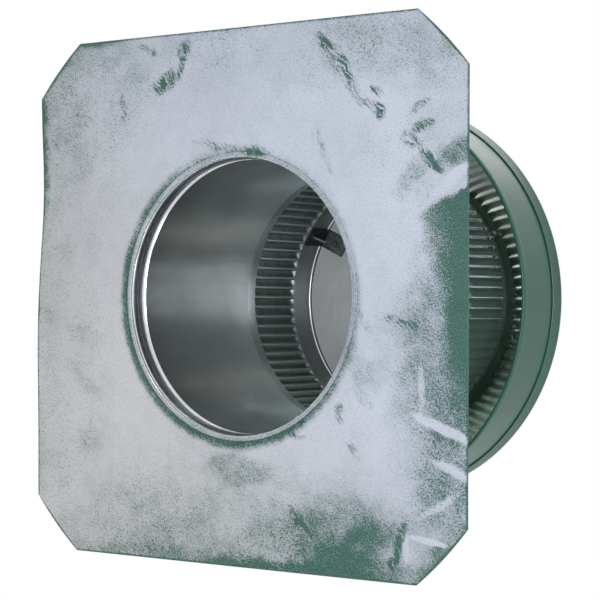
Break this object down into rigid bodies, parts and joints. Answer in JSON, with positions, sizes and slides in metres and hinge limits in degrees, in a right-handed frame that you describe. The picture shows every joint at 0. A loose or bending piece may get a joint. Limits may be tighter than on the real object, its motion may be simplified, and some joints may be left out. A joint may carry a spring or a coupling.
{
  "type": "static roof vent",
  "caption": "Round static roof vent: square flashing, short throat tube, ring of lanced louvres under a domed cap with a hanging skirt.",
  "frame": {"origin": "middle of the flashing's underside, on the throat's axis", "axes": "+Z along the throat's axis from the flashing to the cap; X and Y along the flashing's sides"},
  "size_m": [0.3938, 0.3938, 0.2551],
  "materials": {
    "flashing_sheet": "mill finish below with green overspray, green powder coat above",
    "mill_aluminium": "bare rolled aluminium inside, green powder coat outside",
    "green_coat": "semi-gloss green powder coat",
    "bracket_steel": "dull zinc-plated steel under a thin green overspray",
    "fastener": "plain metal",
    "sealant": "matt",
    "washer": "matt"
  },
  "bodies": {
    "root": {"flashing": "flashing_sheet", "throat_tube": "mill_aluminium", "base_sealant": "sealant", "louvre_band": "green_coat", "band_seam_rivets": "fastener", "brim": "green_coat", "skirt": "green_coat", "skirt_seam_rivets": "green_coat", "cap": "green_coat", "cap_bracket_1": "bracket_steel", "cap_bracket_2": "bracket_steel", "cap_bracket_3": "bracket_steel", "bracket_screws": "fastener", "cap_washers": "washer", "cap_rivets": "green_coat"}
  },
  "joints": []
}
